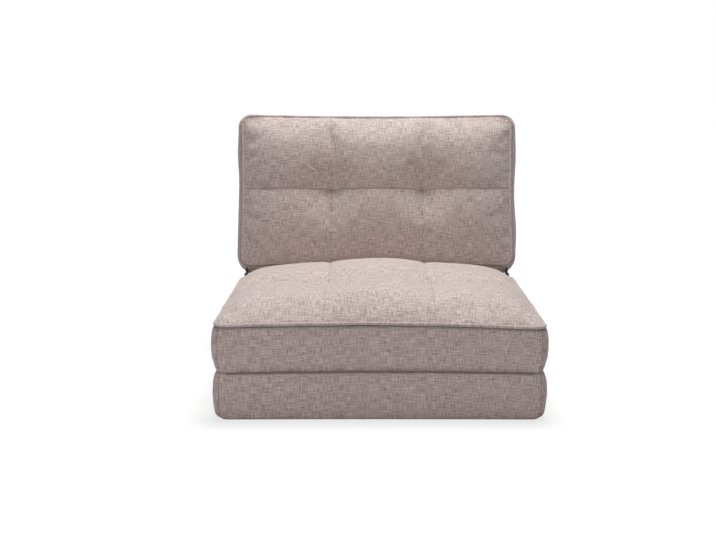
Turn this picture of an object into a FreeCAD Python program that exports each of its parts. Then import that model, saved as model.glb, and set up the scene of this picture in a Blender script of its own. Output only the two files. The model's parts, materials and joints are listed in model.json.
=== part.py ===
import FreeCAD, Part
import math
import os

# Convertible chair bed: a seat pad over a foot pad that folds out in front of it, and a
# back pad that reclines on two ratchet hinges until it lies level with the seat.
# Millimetres. +Z is up, the front faces -Y, and the origin is on the floor under the
# middle of the foot pad.

Vec = FreeCAD.Vector

# Pads, measured over the piping
seat_width = 740.0
seat_depth = 620.0
seat_height = 106.0
foot_height = 106.0
back_width = 745.0
back_length = 422.0
back_thickness = 106.0
corner_radius = 30.0
seat_draw_in = 1.2
back_draw_in = 1.8

# Straight steps that each round corner and each side of a pad are sewn in
corner_steps = 4
side_steps = 2

# How far each border stands beyond the sewn edge: at the fold or rear seam, and at its fullest
seat_seam_pinch = 5.5
seat_bulge = 5.0
foot_bulge = 3.0
foot_floor_round = 19.0
foot_floor_share = 0.75
back_seam_pinch = 6.0
back_bulge = 13.0
piping_tuck = 1.0
border_levels = (0.16, 0.52, 0.85)
border_low_share = 0.15
border_high_share = 0.5

# Crowned and tufted top faces, from the rim to the flat top: share of the crown's height, distance in
# from its edge, corner radius
crown_rows = (
    (0.0, 0.0, 22.0),
    (0.38, 8.0, 32.0),
    (0.66, 26.0, 48.0),
    (0.88, 60.0, 66.0),
    (1.0, 115.0, 80.0),
)
seat_crown = 56.0
back_crown = 38.0
crown_rim = 5.0

# Seam valleys and tuft pits: distance from the seam or tuft, share of the depth
seam_rows = ((0.0, 1.0), (14.0, 0.4), (44.0, 0.0))
tuft_rows = ((4.0, 1.0), (15.0, 0.5), (48.0, 0.0))
tuft_sides = 8
seam_dip = 9.0
seat_tuft_dip = 25.0
back_tuft_dip = 22.0

# How far the cutter of a tuft pit reaches above the crown, as a share of the pit's depth
tuft_cut_share = 0.5

# Cloth, wadding and cord
cover = 2.0
soft_gap = 0.3
piping_radius = 4.0
piping_gap = 0.2
piping_sides = 8
pad_gap = 0.3
floor_wadding = 14.0
band_thickness = 1.0
tie_radius = 1.5
tie_sides = 6
tie_disc_radius = 12.0
tie_disc_thickness = 2.0
tie_disc_sides = 12

# Where the back stands at rest, and where it lies when flat
rest_recline = 12.0
back_set_back = 15.0
back_lift = 26.0
flat_gap = 54.0

# Square steel tube frames
tube_half = 11.0
tube_wall = 1.5
cross_tube_half = 9.0
bend_radius = 60.0
weld_gap = 0.2
seat_frame_level = 40.0
back_frame_level = 50.0
frame_margin = 40.0
seat_tube_end = 13.0
back_tube_end = 12.0
seat_cross_places = (-90.0, 190.0)
back_cross_places = (120.0, 290.0)

# Ratchet hinges: how far they stand in from the side of the narrower pad, and their plates
hinge_inset = 18.0
cheek_thickness = 2.5
arm_thickness = 4.0
plate_gap = 0.3
cheek_radius = 19.0
arm_boss_radius = 14.0
sector_radius = 18.0
tail_radius = 11.0
seat_bolt_places = (52.0, 22.0)
back_bolt_places = (25.0, 60.0)

# Ratchet teeth and pawl
ratchet_steps = 4
ratchet_pitch = 19.5
engage_angle = 262.0
notch_width = 3.0
notch_floor = 14.4
sector_tail_angle = 12.0
pawl_reach = 24.0
pawl_drop = 1.0
pawl_lift_angle = 9.0
pawl_boss_radius = 6.0
pawl_nose_radius = 3.0
pawl_nose_distance = 22.0
pawl_tip_width = 2.4
pawl_tip_radius = 15.0
pawl_side_gap = 0.2
spring_strip = 0.6
spring_width = 3.0
spring_drop = 4.9
spring_wrap_angles = (200.0, 110.0, 20.0)
spring_leaf_angle = 60.0

# Fasteners
pivot_radius = 5.0
pivot_head_radius = 9.0
rivet_head = 3.0
pawl_pin_radius = 3.0
pin_gap = 0.15
bolt_radius = 3.0
bolt_sides = 12
hex_sides = 6
bolt_gap = 0.2
bolt_head_radius = 5.5
bolt_head = 4.0
nut_height = 5.0
spacer_radius = 8.0
pocket_gap = 1.5
cheek_slit_level = 38.0

# Places worked out from the sizes above
fold_level = foot_height
seat_base = fold_level + pad_gap / 2
seat_top = seat_base + seat_height
fold_axis_y = -(seat_depth / 2 + max(seat_bulge, foot_bulge) + 1.0)
rest_edge = (seat_depth / 2 + back_set_back, seat_top + back_lift)
flat_edge = (seat_depth / 2 + flat_gap, seat_top)
flat_turn = 90.0 - rest_recline
turn_share = 1.0 / (2 * math.tan(math.radians(flat_turn) / 2))
pivot_y = (rest_edge[0] + flat_edge[0]) / 2 + (flat_edge[1] - rest_edge[1]) * turn_share
pivot_z = (rest_edge[1] + flat_edge[1]) / 2 - (flat_edge[0] - rest_edge[0]) * turn_share
hinge_offset = min(seat_width, back_width) / 2 - hinge_inset
arm_offset = hinge_offset + cheek_thickness + plate_gap
outer_cheek_offset = arm_offset + arm_thickness + plate_gap
hinge_outside = outer_cheek_offset + cheek_thickness
seat_tube_x = hinge_offset - weld_gap - tube_half
back_tube_x = arm_offset - weld_gap - tube_half
inset_foam = cover + soft_gap


def arc(start, middle, end):
    return Part.Arc(Vec(*start), Vec(*middle), Vec(*end)).toShape()


def line(start, end):
    return Part.LineSegment(Vec(*start), Vec(*end)).toShape()


def pad_wire(half_x, half_y, radius, draw_in, z):
    """A pad seen from above, in straight steps: four drawn-in sides between four round corners."""
    slope = math.radians(draw_in)
    bend = radius / (math.cos(slope) + math.sin(slope))
    points = []
    for quarter in range(4):
        across, along = (half_x, half_y) if quarter % 2 == 0 else (half_y, half_x)
        run = along - radius
        sweep = run / math.sin(slope)
        local = []
        for step in range(1, side_steps):
            lean = slope * (2 * step / side_steps - 1)
            local.append((across - sweep * (math.cos(lean) - math.cos(slope)), sweep * math.sin(lean)))
        for step in range(corner_steps + 1):
            turn = -slope + step * (math.pi / 2 + 2 * slope) / corner_steps
            local.append((across + bend * (math.cos(turn) - math.cos(slope)),
                          run + bend * (math.sin(turn) + math.sin(slope))))
        facing = (Vec(1, 0, 0), Vec(0, 1, 0), Vec(-1, 0, 0), Vec(0, -1, 0))[quarter]
        leftward = Vec(-facing.y, facing.x, 0)
        points += [facing * a + leftward * b + Vec(0, 0, z) for a, b in local]
    return Part.makePolygon(points + points[:1])


def plan_wire(width, depth, draw_in, grow, z):
    return pad_wire(width / 2 + grow, depth / 2 + grow, corner_radius + grow, draw_in, z)


def plan_prism(width, depth, draw_in, grow, low, high):
    face = Part.Face(plan_wire(width, depth, draw_in, grow, low))
    return face.extrude(Vec(0, 0, high - low))


def straight_loft(wires):
    """A loft of flat faces: its outlines run parallel, so each face between two of them is flat."""
    skin = Part.makeLoft(wires, True, True)
    faces = []
    for face in skin.Faces:
        points = [vertex.Point for vertex in face.OuterWire.OrderedVertexes]
        faces.append(Part.Face(Part.makePolygon(points + points[:1])))
    shell = Part.makeShell(faces)
    shell.sewShape()
    form = Part.makeSolid(shell)
    return form if form.Volume > 0 else form.reversed()


def bulged_form(width, depth, draw_in, profile, inset):
    """A solid through (height, growth) pairs, all drawn in by the inset."""
    return straight_loft([plan_wire(width, depth, draw_in, grow - inset, z) for z, grow in profile])


def slab(low, high, reach=2000.0):
    """A wide flat block that keeps only what lies between two heights."""
    return Part.makeBox(reach, reach, high - low, Vec(-reach / 2, -reach / 2, low))


def border_band(width, depth, draw_in, profile):
    """The strip of cloth round a pad's sides, open above and below."""
    outside = bulged_form(width, depth, draw_in, profile, 0)
    inside = bulged_form(width, depth, draw_in, profile, cover)
    return outside.cut(inside)


def foam_block(width, depth, draw_in, profile, low, high):
    form = bulged_form(width, depth, draw_in, profile, inset_foam)
    return form.common(slab(low, high))


def crown_level(low, crown, share, inset):
    """The height of one row of a crown, lowered by the cloth that lies over it."""
    return low + crown_rim + share * crown - inset * (1 + share) / 2


def crown_dome(width, depth, draw_in, low, crown, inset):
    """The domed form that the seams and tufts are pulled into."""
    edge = 2 * piping_radius + piping_gap + inset
    half_x = width / 2 - edge
    half_y = depth / 2 - edge
    wires = [pad_wire(half_x, half_y, crown_rows[0][2] - inset, draw_in, low)]
    for share, inward, radius in crown_rows:
        z = crown_level(low, crown, share, inset)
        wires.append(pad_wire(half_x - inward, half_y - inward, radius - inset, draw_in, z))
    return straight_loft(wires)


def seam_places(half, low, crown, inset):
    """Places along a seam, from one rim over the crown to the other, as (distance, height)."""
    edge = 2 * piping_radius + piping_gap + inset
    rise = []
    for share, inward, _ in crown_rows:
        rise.append((half - edge - inward, crown_level(low, crown, share, inset)))
    rise[0] = (rise[0][0], rise[0][1] + 2 * seam_dip)
    return [(-place, z) for place, z in rise] + list(reversed(rise))


def seam_valley(places, offset, crown, along_x):
    """A cutter that sinks one seam into a crown and follows its rise and fall."""
    half = [(distance, -seam_dip * share) for distance, share in seam_rows]
    outer = half[-1][0]
    above = [(outer, crown), (-outer, crown)]
    ring = half + above + [(-distance, drop) for distance, drop in reversed(half[1:])]
    wires = []
    for place, z in places:
        if along_x:
            points = [Vec(place, offset + across, z + up) for across, up in ring]
        else:
            points = [Vec(offset + across, place, z + up) for across, up in ring]
        wires.append(Part.makePolygon(points + points[:1]))
    return straight_loft(wires)


def tuft_pit(x, top, tuft_dip):
    """A cutter for the dimple where a tuft is tied down, on the cross seam."""
    wires = []
    rows = list(tuft_rows) + [(tuft_rows[-1][0], -tuft_cut_share)]
    for radius, share in rows:
        centre = Vec(x, 0, top - tuft_dip * share)
        wires.append(sided_ring(tuft_sides, radius, centre, Vec(0, 0, 1)))
    return straight_loft(wires)


def crown_form(width, depth, draw_in, low, crown, tuft_dip, inset):
    """A crowned solid with two long seams, a cross seam and a tuft where they meet."""
    dome = crown_dome(width, depth, draw_in, low, crown, inset)
    top = crown_level(low, crown, 1.0, inset)
    cutters = [seam_valley(seam_places(width / 2, low, crown, inset), 0, crown, True)]
    for x in (-width / 6, width / 6):
        cutters.append(seam_valley(seam_places(depth / 2, low, crown, inset), x, crown, False))
        cutters.append(tuft_pit(x, top, tuft_dip))
    return dome.cut(cutters)


def crown_panel(width, depth, draw_in, low, crown, tuft_dip):
    outside = crown_form(width, depth, draw_in, low, crown, tuft_dip, 0)
    inside = crown_form(width, depth, draw_in, low, crown, tuft_dip, cover)
    return outside.cut(inside)


def crown_wadding(width, depth, draw_in, low, crown, tuft_dip):
    return crown_form(width, depth, draw_in, low, crown, tuft_dip, cover + soft_gap)


def piping_cord(width, depth, draw_in, z):
    """The covered cord that is sewn round the edge of a crowned face."""
    outer = []
    inner = []
    for step in range(piping_sides // 2):
        angle = -math.pi / 2 + (step + 0.5) * 2 * math.pi / piping_sides
        height = z + piping_radius * math.sin(angle)
        reach = piping_radius * math.cos(angle)
        outer.append((height, -piping_radius + reach))
        inner.append((height, -piping_radius - reach))
    cord = bulged_form(width, depth, draw_in, outer, 0)
    return cord.cut(bulged_form(width, depth, draw_in, inner, 0))


def sided_ring(sides, radius, centre, axis):
    """The outline of a bar of flat sides, which runs along X or along Z."""
    points = []
    for step in range(sides):
        angle = 2 * math.pi * step / sides
        across = radius * math.cos(angle)
        up = radius * math.sin(angle)
        points.append(centre + (Vec(0, across, up) if axis.x else Vec(across, up, 0)))
    return Part.makePolygon(points + points[:1])


def sided_bar(sides, radius, start, run):
    return Part.Face(sided_ring(sides, radius, start, run)).extrude(run)


def round_bar(radius, start, end):
    run = Vec(*end) - Vec(*start)
    return Part.makeCylinder(radius, run.Length, Vec(*start), run)


def bent_run(half_x, end_y, far_y, inner, z):
    """One side of a bent U tube seen from above, with the U open at end_y."""
    side = 1 if far_y > end_y else -1
    radius = half_x - inner
    bend_y = far_y - side * radius
    nook = radius * (1 - math.sqrt(0.5))
    return [
        line((-half_x, end_y, z), (-half_x, bend_y, z)),
        arc((-half_x, bend_y, z), (-half_x + nook, far_y - side * nook, z), (-inner, far_y, z)),
        line((-inner, far_y, z), (inner, far_y, z)),
        arc((inner, far_y, z), (half_x - nook, far_y - side * nook, z), (half_x, bend_y, z)),
        line((half_x, bend_y, z), (half_x, end_y, z)),
    ]


def bent_bar(half_x, end_y, far_y, z, half):
    """A solid bar of square section bent to a U, which stands half above and half below z."""
    side = 1 if far_y > end_y else -1
    low = z - half
    inner = half_x - bend_radius
    edges = bent_run(half_x + half, end_y, far_y + side * half, inner, low)
    edges += bent_run(half_x - half, end_y, far_y - side * half, inner, low)
    for x in (-half_x, half_x):
        edges.append(line((x - half, end_y, low), (x + half, end_y, low)))
    outline = Part.Wire(Part.__sortEdges__(edges))
    return Part.Face(outline).extrude(Vec(0, 0, 2 * half))


def cross_bars(half_x, places, z, half):
    bars = [Part.makeBox(2 * half_x, 2 * half, 2 * half, Vec(-half_x, y - half, z - half)) for y in places]
    return bars[0].fuse(bars[1:])


def frame_tubes(half_x, end_y, far_y, z, bolt_holes):
    """The bent U of one frame, hollow and open at its two ends."""
    outside = bent_bar(half_x, end_y, far_y, z, tube_half)
    inside = bent_bar(half_x, end_y, far_y, z, tube_half - tube_wall)
    return outside.cut(inside).cut(bolt_holes)


def frame_cross_tubes(half_x, places, z):
    """Straight tubes between the sides of a frame."""
    reach = half_x - tube_half - weld_gap
    tubes = cross_bars(reach, places, z, cross_tube_half)
    return tubes.cut(cross_bars(reach, places, z, cross_tube_half - tube_wall))


def frame_channels(half_x, end_y, far_y, places, z):
    """The room that a frame takes up in the foam."""
    outward = 1 if end_y > far_y else -1
    room = bent_bar(half_x, end_y + outward * soft_gap, far_y, z, tube_half + soft_gap)
    return room.fuse(cross_bars(half_x, places, z, cross_tube_half + soft_gap))


def ring_of_circles(circles):
    """The outline of a plate round a row of bosses, given anticlockwise as (y, z, radius)."""
    count = len(circles)
    normals = []
    for index in range(count):
        y0, z0, r0 = circles[index]
        y1, z1, r1 = circles[(index + 1) % count]
        length = math.hypot(y1 - y0, z1 - z0)
        along = ((y1 - y0) / length, (z1 - z0) / length)
        lean = math.asin((r0 - r1) / length)
        normals.append(math.atan2(-along[0], along[1]) + lean)
    edges = []
    for index in range(count):
        y0, z0, r0 = circles[index]
        y1, z1, r1 = circles[(index + 1) % count]
        arrive = normals[index - 1]
        leave = normals[index]
        sweep = (leave - arrive) % (2 * math.pi)
        points = [(0, y0 + r0 * math.cos(a), z0 + r0 * math.sin(a))
                  for a in (arrive, arrive + sweep / 2, leave)]
        edges.append(arc(*points))
        landing = (0, y1 + r1 * math.cos(leave), z1 + r1 * math.sin(leave))
        edges.append(line(points[2], landing))
    return Part.Wire(edges)


def plate(outline, x, thickness):
    flat = Part.Face(outline)
    flat.translate(Vec(x, 0, 0))
    return flat.extrude(Vec(thickness, 0, 0))


def polar(radius, degrees):
    """A point round the recline pivot, as (y, z)."""
    angle = math.radians(degrees)
    return pivot_y + radius * math.cos(angle), pivot_z + radius * math.sin(angle)


# The back is modelled lying flat with its front face up, then stood at its recline
def stand_up(shape):
    placed = shape.copy()
    placed.translate(Vec(0, back_length / 2, -back_thickness))
    placed.rotate(Vec(0, 0, 0), Vec(1, 0, 0), flat_turn)
    placed.translate(Vec(0, rest_edge[0], rest_edge[1]))
    return placed


def back_point(up, above_rear):
    """Where a place on the back pad is in the (y, z) plane of the whole bed."""
    turn = math.radians(flat_turn)
    forward = above_rear - back_thickness
    y = rest_edge[0] + up * math.cos(turn) - forward * math.sin(turn)
    z = rest_edge[1] + up * math.sin(turn) + forward * math.cos(turn)
    return y, z


seat_bolts = [(seat_depth / 2 - place, seat_base + seat_frame_level) for place in seat_bolt_places]
back_bolts = [back_point(place, back_frame_level) for place in back_bolt_places]
pawl_contact = polar(pawl_tip_radius, engage_angle)
pawl_pivot = (pawl_contact[0] - pawl_reach, pawl_contact[1] - pawl_drop)


def bolt_bars(places, inner, outer, radius):
    run = Vec(outer - inner, 0, 0)
    bars = [sided_bar(bolt_sides, radius, Vec(inner, y, z), run) for y, z in places]
    return bars[0].fuse(bars[1:])


def bolt_set(places, tube_x, outer_face):
    """Bolts through a hinge plate and a frame tube, each with its nut."""
    nut_start = tube_x - tube_half - weld_gap - nut_height
    bolts = []
    for y, z in places:
        inner = Vec(nut_start, y, z)
        outer = Vec(outer_face, y, z)
        shank = sided_bar(bolt_sides, bolt_radius, inner, outer - inner)
        head = sided_bar(hex_sides, bolt_head_radius, outer, Vec(bolt_head, 0, 0))
        nut = sided_bar(hex_sides, bolt_head_radius, inner, Vec(nut_height, 0, 0))
        bolts.append(shank.fuse([head, nut]).removeSplitter())
    return Part.makeCompound(bolts)


def bolt_room(places, tube_x, outer_face):
    """One pocket in the foam for the bolts of a hinge, their heads and their nuts."""
    inner = tube_x - tube_half - weld_gap - nut_height - pocket_gap
    outer = outer_face + bolt_head + pocket_gap
    reach = bolt_head_radius + pocket_gap
    ys = [y for y, z in places]
    level = places[0][1]
    return slot_box(inner, outer, min(ys) - reach, max(ys) + reach, level - reach, level + reach)


def hinge_cheek(offset):
    """A seat-side plate of the hinge, from the frame tube up to the pivot."""
    circles = [
        (seat_bolts[0][0], seat_bolts[0][1], tail_radius),
        (seat_bolts[1][0], seat_bolts[1][1], tail_radius),
        (pivot_y, pivot_z, cheek_radius),
    ]
    cheek = plate(ring_of_circles(circles), offset, cheek_thickness)
    far = offset + cheek_thickness
    cheek = cheek.cut(bolt_bars(seat_bolts, offset, far, bolt_radius + bolt_gap))
    cheek = cheek.cut(round_bar(pivot_radius, (offset, pivot_y, pivot_z), (far, pivot_y, pivot_z)))
    return cheek.cut(round_bar(pawl_pin_radius, (offset, *pawl_pivot), (far, *pawl_pivot)))


def ratchet_sector():
    """The toothed part of the arm: a slice round the pivot that the notches are cut from."""
    last_angle = engage_angle + ratchet_steps * ratchet_pitch + sector_tail_angle
    middle_angle = (engage_angle + last_angle) / 2
    first, middle, last = [(0, *polar(sector_radius, a)) for a in (engage_angle, middle_angle, last_angle)]
    centre = (0, pivot_y, pivot_z)
    outline = Part.Wire([line(centre, first), arc(first, middle, last), line(last, centre)])
    return plate(outline, arm_offset, arm_thickness)


def ratchet_notches():
    """One square notch for each position of the back."""
    notches = []
    for step in range(ratchet_steps + 1):
        notch = Part.makeBox(arm_thickness, sector_radius, notch_width,
                             Vec(arm_offset, pivot_y + notch_floor, pivot_z - notch_width / 2))
        angle = engage_angle + step * ratchet_pitch
        notch.rotate(Vec(0, pivot_y, pivot_z), Vec(1, 0, 0), angle)
        notches.append(notch)
    return notches[0].fuse(notches[1:])


def recline_arm():
    """The back-side plate of the hinge: ratchet sector, boss and arm in one piece."""
    circles = [
        (pivot_y, pivot_z, arm_boss_radius),
        (back_bolts[0][0], back_bolts[0][1], tail_radius),
        (back_bolts[1][0], back_bolts[1][1], tail_radius),
    ]
    far = arm_offset + arm_thickness
    arm = plate(ring_of_circles(circles), arm_offset, arm_thickness).fuse(ratchet_sector())
    arm = arm.cut(ratchet_notches())
    arm = arm.cut(bolt_bars(back_bolts, arm_offset, far, bolt_radius + bolt_gap))
    hole = round_bar(pivot_radius + pin_gap, (arm_offset, pivot_y, pivot_z), (far, pivot_y, pivot_z))
    return arm.cut(hole).removeSplitter()


def pivot_rivet():
    """The rivet that the arm turns on: headed outside, and peened flush with the inner cheek."""
    axis = (pivot_y, pivot_z)
    shank = round_bar(pivot_radius, (hinge_offset, *axis), (hinge_outside + rivet_head, *axis))
    head = round_bar(pivot_head_radius, (hinge_outside, *axis), (hinge_outside + rivet_head, *axis))
    return shank.fuse(head).removeSplitter()


def recline_pawl():
    """The catch, drawn clear of the teeth: it turns up by its lift angle to engage."""
    offset = arm_offset + pawl_side_gap
    thickness = arm_thickness - 2 * pawl_side_gap
    nose = polar(pawl_nose_distance, engage_angle)
    circles = [(*pawl_pivot, pawl_boss_radius), (*nose, pawl_nose_radius)]
    pawl = plate(ring_of_circles(circles), offset, thickness)
    tip_length = pawl_nose_distance - pawl_tip_radius
    tip = Part.makeBox(thickness, tip_length, pawl_tip_width,
                       Vec(offset, pivot_y + pawl_tip_radius, pivot_z - pawl_tip_width / 2))
    tip.rotate(Vec(0, pivot_y, pivot_z), Vec(1, 0, 0), engage_angle)
    far = offset + thickness
    hole = round_bar(pawl_pin_radius + pin_gap, (offset, *pawl_pivot), (far, *pawl_pivot))
    pawl = pawl.fuse(tip).cut(hole).removeSplitter()
    pawl.rotate(Vec(0, *pawl_pivot), Vec(1, 0, 0), -pawl_lift_angle)
    return pawl


def pawl_spring():
    """A leaf that hooks round the upper spacer and bears on the pawl from below."""
    y, z = seat_bolts[1]
    ring = spacer_radius + soft_gap
    x = arm_offset + (arm_thickness - spring_width) / 2
    outline = []
    for radius in (ring, ring + spring_strip):
        points = []
        for degrees in spring_wrap_angles:
            angle = math.radians(degrees)
            points.append((0, y + radius * math.cos(angle), z + radius * math.sin(angle)))
        outline.append(points)
    inner, outer = outline
    edges = [arc(*inner), line(inner[2], outer[2]), arc(*reversed(outer)), line(outer[0], inner[0])]
    clip = plate(Part.Wire(edges), x, spring_width)
    reach_y, reach_z = pawl_pivot
    touch = (reach_y + pawl_reach / 2, reach_z - pawl_boss_radius - spring_drop)
    turn = math.radians(spring_leaf_angle)
    start = (y + ring * math.cos(turn), z + ring * math.sin(turn))
    run = Vec(0, touch[0] - start[0], touch[1] - start[1])
    across = Vec(0, -run.z, run.y)
    across.normalize()
    base = Vec(x, *start)
    corners = [base, base + run, base + run + across * spring_strip, base + across * spring_strip, base]
    leaf = Part.Face(Part.makePolygon(corners)).extrude(Vec(spring_width, 0, 0))
    return clip.fuse(leaf).removeSplitter()


def hinge_spacers():
    """Hexagonal bushes that hold the two cheeks apart at the bolts."""
    inner = hinge_offset + cheek_thickness
    run = Vec(outer_cheek_offset - inner, 0, 0)
    bars = [sided_bar(hex_sides, spacer_radius, Vec(inner, y, z), run) for y, z in seat_bolts]
    holes = bolt_bars(seat_bolts, inner, outer_cheek_offset, bolt_radius + bolt_gap)
    return Part.makeCompound(bars).cut(holes)


def hinge_pieces():
    """Every piece of the hinge on the right; the left one is its mirror image."""
    return {
        "hinge_cheeks_inner": hinge_cheek(hinge_offset),
        "hinge_cheeks_outer": hinge_cheek(outer_cheek_offset),
        "hinge_spacers": hinge_spacers(),
        "hinge_pivots": pivot_rivet(),
        "hinge_seat_bolts": bolt_set(seat_bolts, seat_tube_x, hinge_outside),
        "hinge_back_bolts": bolt_set(back_bolts, back_tube_x, arm_offset + arm_thickness),
        "recline_arms": recline_arm(),
        "pawl_pins": round_bar(pawl_pin_radius, (hinge_offset, *pawl_pivot), (hinge_outside, *pawl_pivot)),
        "pawl_springs": pawl_spring(),
    }


def both_sides(shape):
    return shape.fuse(shape.mirror(Vec(0, 0, 0), Vec(1, 0, 0)))


def slot_box(inner, outer, low_y, high_y, low_z, high_z):
    box = Part.makeBox(outer - inner, high_y - low_y, high_z - low_z, Vec(inner, low_y, low_z))
    return both_sides(box)


def tuft_ties(width, top, base):
    """Twine from each tuft down to a disc that stops it pulling through the foam."""
    ties = []
    for x in (-width / 6, width / 6):
        twine = sided_bar(tie_sides, tie_radius, Vec(x, 0, base), Vec(0, 0, top - base))
        disc = sided_bar(tie_disc_sides, tie_disc_radius, Vec(x, 0, base), Vec(0, 0, tie_disc_thickness))
        ties.append(twine.fuse(disc).removeSplitter())
    return Part.makeCompound(ties)


def tie_room(width, top, base):
    rooms = []
    low = base - cover
    room = 2 * soft_gap
    twine_run = Vec(0, 0, top + soft_gap - low)
    disc_run = Vec(0, 0, tie_disc_thickness + cover + soft_gap)
    for x in (-width / 6, width / 6):
        start = Vec(x, 0, low)
        rooms.append(sided_bar(tie_sides, tie_radius + room, start, twine_run))
        rooms.append(sided_bar(tie_disc_sides, tie_disc_radius + room, start, disc_run))
    return rooms[0].fuse(rooms[1:])


def crowned_pad(name, sizes, profile, frame, hinge_room, wall_slits, face, rear):
    """All the cloth, wadding and foam of a pad with a crowned face, with its frame."""
    width, depth, draw_in, height, crown, tuft_dip = sizes
    half_x, end_y, far_y, places, level, holes = frame
    top = height - piping_radius - piping_gap
    tuft_top = crown_level(top, crown, 1.0, cover) - tuft_dip - soft_gap
    room = tie_room(width, tuft_top, cover)
    foam = foam_block(width, depth, draw_in, profile, cover, top)
    foam = foam.cut([frame_channels(half_x, end_y, far_y, places, level), hinge_room, room])
    wadding = crown_wadding(width, depth, draw_in, top, crown, tuft_dip)
    border = border_band(width, depth, draw_in, profile)
    pinch = profile[0][1]
    return {
        f"{name}_{face}_panel": crown_panel(width, depth, draw_in, top, crown, tuft_dip),
        f"{name}_piping": piping_cord(width, depth, draw_in, height),
        f"{name}_border": border.cut(wall_slits),
        f"{name}_{rear}_panel": plan_prism(width, depth, draw_in, pinch, 0, cover),
        f"{name}_wadding": wadding.cut(room),
        f"{name}_foam_upper": foam.common(slab(level, top)),
        f"{name}_foam_lower": foam.common(slab(cover, level)),
        f"{name}_tuft_ties": tuft_ties(width, tuft_top, cover),
        f"{name}_frame": frame_tubes(half_x, end_y, far_y, level, holes),
        f"{name}_cross_tubes": frame_cross_tubes(half_x, places, level),
    }


def border_profile(height, pinch, bulge):
    """A border from its pinched seam, over its fullest place, up to the piping."""
    top = height - piping_radius - piping_gap
    low, full, high = [share * top for share in border_levels]
    return [(cover, -pinch), (low, -border_low_share * pinch), (full, bulge),
            (high, border_high_share * bulge), (top, -piping_tuck)]


def seat_section():
    level = seat_frame_level
    profile = border_profile(seat_height, seat_seam_pinch, seat_bulge)
    end_y = seat_depth / 2 - seat_tube_end
    far_y = -(seat_depth / 2 - frame_margin)
    low_bolts = [(y, z - seat_base) for y, z in seat_bolts]
    holes = both_sides(bolt_bars(low_bolts, seat_tube_x - 2 * tube_half, hinge_offset,
                                 bolt_radius + bolt_gap))
    top = seat_height - piping_radius - piping_gap
    tail_y = min(y for y, z in seat_bolts) - tail_radius
    slot = slot_box(hinge_offset - rivet_head - soft_gap, hinge_outside + bolt_head + soft_gap,
                    tail_y - soft_gap, seat_depth / 2 + corner_radius,
                    level - tail_radius - soft_gap, top + cover)
    room = slot.fuse(bolt_room(low_bolts, seat_tube_x, hinge_outside))
    slits = slot_box(hinge_offset - rivet_head - soft_gap, hinge_outside + rivet_head + soft_gap,
                     seat_depth / 2 - corner_radius + cover, seat_depth / 2 + corner_radius,
                     cheek_slit_level, seat_height)
    sizes = (seat_width, seat_depth, seat_draw_in, seat_height, seat_crown, seat_tuft_dip)
    frame = (seat_tube_x, end_y, far_y, seat_cross_places, level, holes)
    pieces = crowned_pad("seat", sizes, profile, frame, room, slits, "top", "base")
    for shape in pieces.values():
        shape.translate(Vec(0, 0, seat_base))
    return pieces


def back_section():
    level = back_frame_level
    profile = border_profile(back_thickness, back_seam_pinch, back_bulge)
    bottom = -back_length / 2
    end_y = bottom + back_tube_end
    far_y = back_length / 2 - frame_margin
    places = [bottom + place for place in back_cross_places]
    low_bolts = [(bottom + place, level) for place in back_bolt_places]
    outer_face = arm_offset + arm_thickness
    holes = both_sides(bolt_bars(low_bolts, back_tube_x - 2 * tube_half, arm_offset,
                                 bolt_radius + bolt_gap))
    top = back_thickness - piping_radius - piping_gap
    far_bolt = bottom + max(back_bolt_places)
    slot = slot_box(arm_offset - soft_gap, outer_face + soft_gap, bottom - corner_radius,
                    far_bolt + tail_radius + soft_gap, level - tail_radius - soft_gap, top - cover)
    room = slot.fuse(bolt_room(low_bolts, back_tube_x, outer_face))
    slits = slot_box(arm_offset - soft_gap, outer_face + soft_gap, bottom - corner_radius,
                     bottom + back_tube_end, level, top - cover)
    sizes = (back_width, back_length, back_draw_in, back_thickness, back_crown, back_tuft_dip)
    frame = (back_tube_x, end_y, far_y, places, level, holes)
    pieces = crowned_pad("back", sizes, profile, frame, room, slits, "front", "rear")
    return {name: stand_up(shape) for name, shape in pieces.items()}


def foot_section():
    """The pad that folds under the seat: its sleeping face is down on the floor at rest."""
    top = foot_height - pad_gap / 2
    low, full, high = [share * top for share in border_levels]
    profile = [(cover, -foot_floor_share * foot_floor_round), (low, -piping_tuck), (full, foot_bulge),
               (high, 0), (top - cover, -seat_seam_pinch)]
    sizes = (seat_width, seat_depth, seat_draw_in)
    split = cover + floor_wadding
    return {
        "foot_floor_panel": plan_prism(*sizes, -foot_floor_round, 0, cover),
        "foot_border": border_band(*sizes, profile),
        "foot_upper_panel": plan_prism(*sizes, -seat_seam_pinch, top - cover, top),
        "foot_wadding": foam_block(*sizes, profile, cover, split),
        "foot_foam": foam_block(*sizes, profile, split, top - cover),
    }


def fold_bands():
    """Two leaves of cloth sewn to the pads, which meet on the fold axis."""
    half = seat_width / 2 - corner_radius
    front = fold_axis_y + pad_gap / 2
    rear = -seat_depth / 2 + corner_radius
    upper = Part.makeBox(2 * half, rear - front, band_thickness, Vec(-half, front, seat_base))
    panel = plan_prism(seat_width, seat_depth, seat_draw_in, -seat_seam_pinch, seat_base, seat_top)
    upper = upper.cut(panel)
    lower = upper.mirror(Vec(0, 0, fold_level), Vec(0, 0, 1))
    return {"seat_fold_band": upper, "foot_fold_band": lower}


def mirrored(shape):
    return shape.mirror(Vec(0, 0, 0), Vec(1, 0, 0))


def all_pieces():
    pieces = {}
    pieces.update(seat_section())
    pieces.update(foot_section())
    pieces.update(back_section())
    pieces.update(fold_bands())
    for name, shape in hinge_pieces().items():
        pieces[name] = Part.makeCompound([shape, mirrored(shape)])
    pieces["recline_pawl_right"] = recline_pawl()
    pieces["recline_pawl_left"] = mirrored(recline_pawl())
    return pieces


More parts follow.
